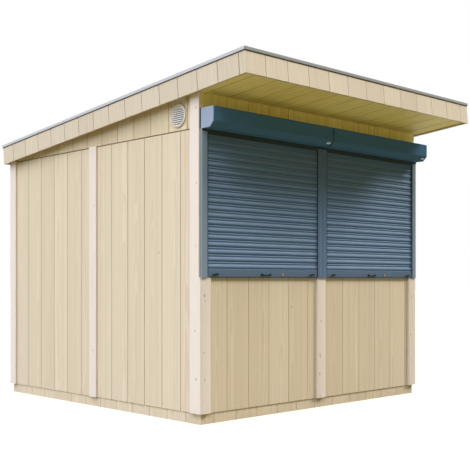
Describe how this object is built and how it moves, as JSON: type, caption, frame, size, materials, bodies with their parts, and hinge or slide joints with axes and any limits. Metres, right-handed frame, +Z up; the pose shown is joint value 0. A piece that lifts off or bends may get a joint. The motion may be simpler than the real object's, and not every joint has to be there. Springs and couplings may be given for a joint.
{
  "type": "wooden market hut",
  "caption": "Boarded timber market hut with a mono-pitch roof, a deep front canopy, roller shutters closed over a counter-height front wall, and round louvred gable vents.",
  "frame": {"origin": "middle of the footprint, on the ground", "axes": "+Z up; the shutters face -Y and the roof falls towards +Y; +X to the right seen from the front"},
  "size_m": [2.55, 3.1113, 2.449],
  "materials": {
    "boarding": "planed pale spruce boards, unpainted",
    "cover_strip": "planed pale spruce with small knots",
    "fascia": "planed pale spruce boards, unpainted",
    "rough_timber": "sawn softwood",
    "shutter_paint": "satin blue-grey coating on aluminium",
    "end_cap_paint": "satin blue-grey coating on cast aluminium",
    "latch_plastic": "dark moulded plastic",
    "key_brass": "satin brass",
    "steel_fittings": "brushed",
    "edge_trim": "mill finish",
    "roof_membrane": "matt sheet",
    "vent_plastic": "off-white moulded plastic"
  },
  "bodies": {
    "root": {"floor_bearers": "rough_timber", "floor_deck": "rough_timber", "plinth_boards": "boarding", "front_frame": "rough_timber", "back_frame": "rough_timber", "left_frame": "rough_timber", "right_frame": "rough_timber", "front_lower_panels": "boarding", "front_jambs": "boarding", "front_header": "boarding", "front_strips": "cover_strip", "left_panels": "boarding", "left_gable": "boarding", "left_strips": "cover_strip", "left_vent": "vent_plastic", "right_panels": "boarding", "right_gable": "boarding", "right_strips": "cover_strip", "right_vent": "vent_plastic", "back_panels": "boarding", "back_strips": "cover_strip", "door_frame": "rough_timber", "door_casing": "cover_strip", "door_leaf": "boarding", "door_hinges": "steel_fittings", "door_handle": "steel_fittings", "roof_rafters": "rough_timber", "roof_deck": "rough_timber", "roof_membrane": "roof_membrane", "roof_edge_trim": "edge_trim", "front_soffit": "boarding", "front_fascia": "fascia", "back_fascia": "fascia", "left_fascia": "fascia", "right_fascia": "fascia", "left_shutter_box": "shutter_paint", "right_shutter_box": "shutter_paint", "shutter_end_caps": "end_cap_paint", "shutter_guides": "shutter_paint", "left_curtain": "shutter_paint", "right_curtain": "shutter_paint", "shutter_bottom_rails": "shutter_paint", "shutter_latches": "latch_plastic", "shutter_key_cylinders": "key_brass", "shutter_crank_eyes": "steel_fittings"}
  },
  "joints": []
}
